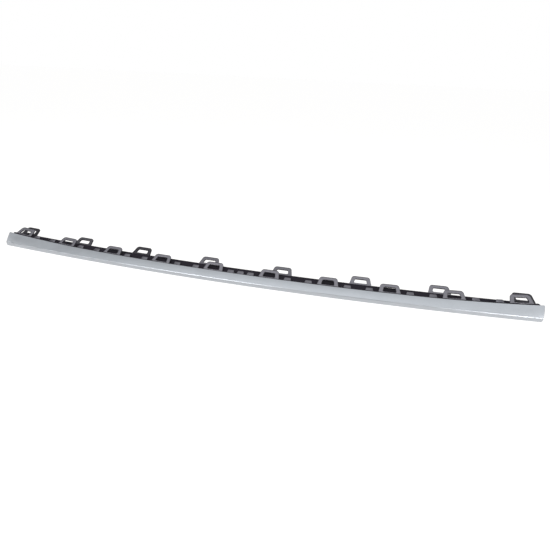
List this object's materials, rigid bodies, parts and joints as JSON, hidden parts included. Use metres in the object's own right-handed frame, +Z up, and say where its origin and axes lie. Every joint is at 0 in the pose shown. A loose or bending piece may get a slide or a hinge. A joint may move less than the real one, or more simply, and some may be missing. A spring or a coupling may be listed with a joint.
{
  "type": "bumper trim strip",
  "caption": "Long bowed satin-silver bumper trim strip with a rounded front lip, on a black moulded carrier with rows of trapezoid clip loops and short tabs.",
  "frame": {"origin": "middle of the strip's length, on the floor, under the middle of the carrier's back wall", "axes": "+X along the strip's length, +Y back towards the bumper, +Z up; the silver lip faces -Y"},
  "size_m": [1.0036, 0.0852, 0.0304],
  "materials": {
    "silver_paint": "satin silver metallic paint on a plastic moulding",
    "black_plastic": "fine-grained black moulded plastic, greyer on the loops"
  },
  "bodies": {
    "root": {"face_strip": "silver_paint", "clip_carrier": "black_plastic"}
  },
  "joints": []
}
